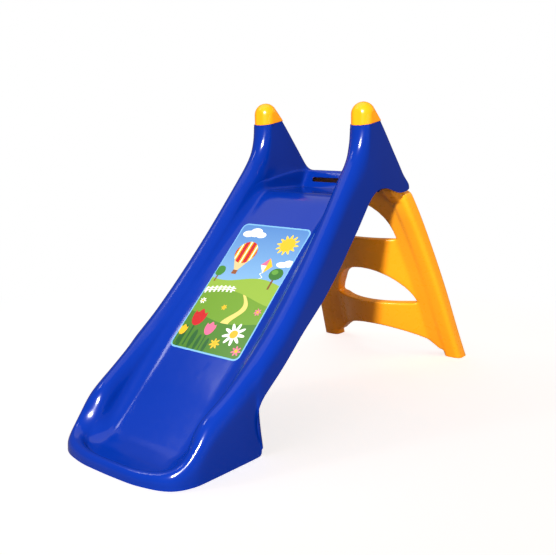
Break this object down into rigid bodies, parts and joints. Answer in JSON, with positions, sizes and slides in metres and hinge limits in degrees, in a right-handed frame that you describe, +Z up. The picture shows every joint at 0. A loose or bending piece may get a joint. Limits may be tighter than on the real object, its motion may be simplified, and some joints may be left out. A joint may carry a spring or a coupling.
{
  "type": "toddler slide",
  "caption": "Small folding slide for toddlers: a blue moulded chute with raised side rails, capped grab handles and a yellow hollow ladder hinged under the seat.",
  "frame": {"origin": "on the floor, under the middle of the slide's overall box", "axes": "+Z up, -Y towards the exit, +Y towards the ladder, X across; left is +X, as the child sits"},
  "size_m": [0.476, 1.166, 0.7225],
  "materials": {
    "chute_plastic": "glossy moulded polyethylene, deep blue",
    "ladder_plastic": "satin blow-moulded polyethylene, warm yellow",
    "cap_plastic": "glossy yellow plastic",
    "label_vinyl": "printed vinyl label, sky blue and green",
    "screw_steel": "zinc-plated steel",
    "insert_brass": "plain brass",
    "bush_nylon": "natural nylon"
  },
  "bodies": {
    "chute_body": {"chute": "chute_plastic", "handle_cap_left": "cap_plastic", "handle_cap_right": "cap_plastic", "cap_screws_left": "screw_steel", "cap_screws_right": "screw_steel", "hinge_screw_left": "screw_steel", "hinge_screw_right": "screw_steel", "hinge_washer_left": "screw_steel", "hinge_washer_right": "screw_steel", "hinge_insert_left": "insert_brass", "hinge_insert_right": "insert_brass", "slide_label": "label_vinyl"},
    "ladder_body": {"ladder": "ladder_plastic", "hinge_bush_left": "bush_nylon", "hinge_bush_right": "bush_nylon"}
  },
  "joints": [
    {"name": "ladder_fold", "type": "hinge", "parent": "chute_body", "child": "ladder_body", "pos_m": [0, 0.258, 0.514], "axis": [-1, 0, 0], "range_deg": [0, 78]}
  ]
}
